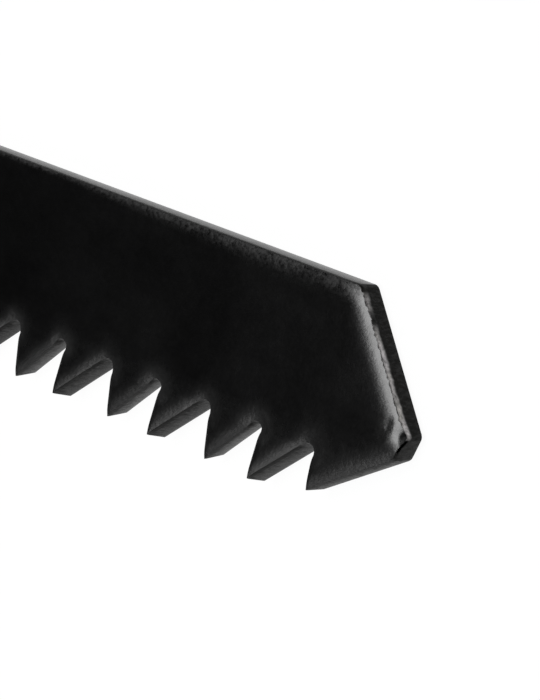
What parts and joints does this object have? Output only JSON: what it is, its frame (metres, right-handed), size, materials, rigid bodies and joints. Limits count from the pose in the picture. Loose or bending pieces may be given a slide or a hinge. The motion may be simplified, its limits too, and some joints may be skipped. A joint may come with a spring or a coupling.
{
  "type": "jigsaw blade",
  "caption": "Straight jigsaw blade of black steel with a T-shank, a slanted end and a row of teeth bent to either side in turn.",
  "frame": {"origin": "under the middle of the blade's bounding box, at the height of the lowest tooth corner, on which the blade lies", "axes": "+X along the blade towards the cutting tip, +Y from the teeth to the back edge, +Z through the thickness towards the punched face"},
  "size_m": [0.1, 0.0102, 0.0016],
  "materials": {
    "blackened_steel": "smooth black finish, half gloss, on stamped steel"
  },
  "bodies": {
    "root": {"blade": "blackened_steel"}
  },
  "joints": []
}
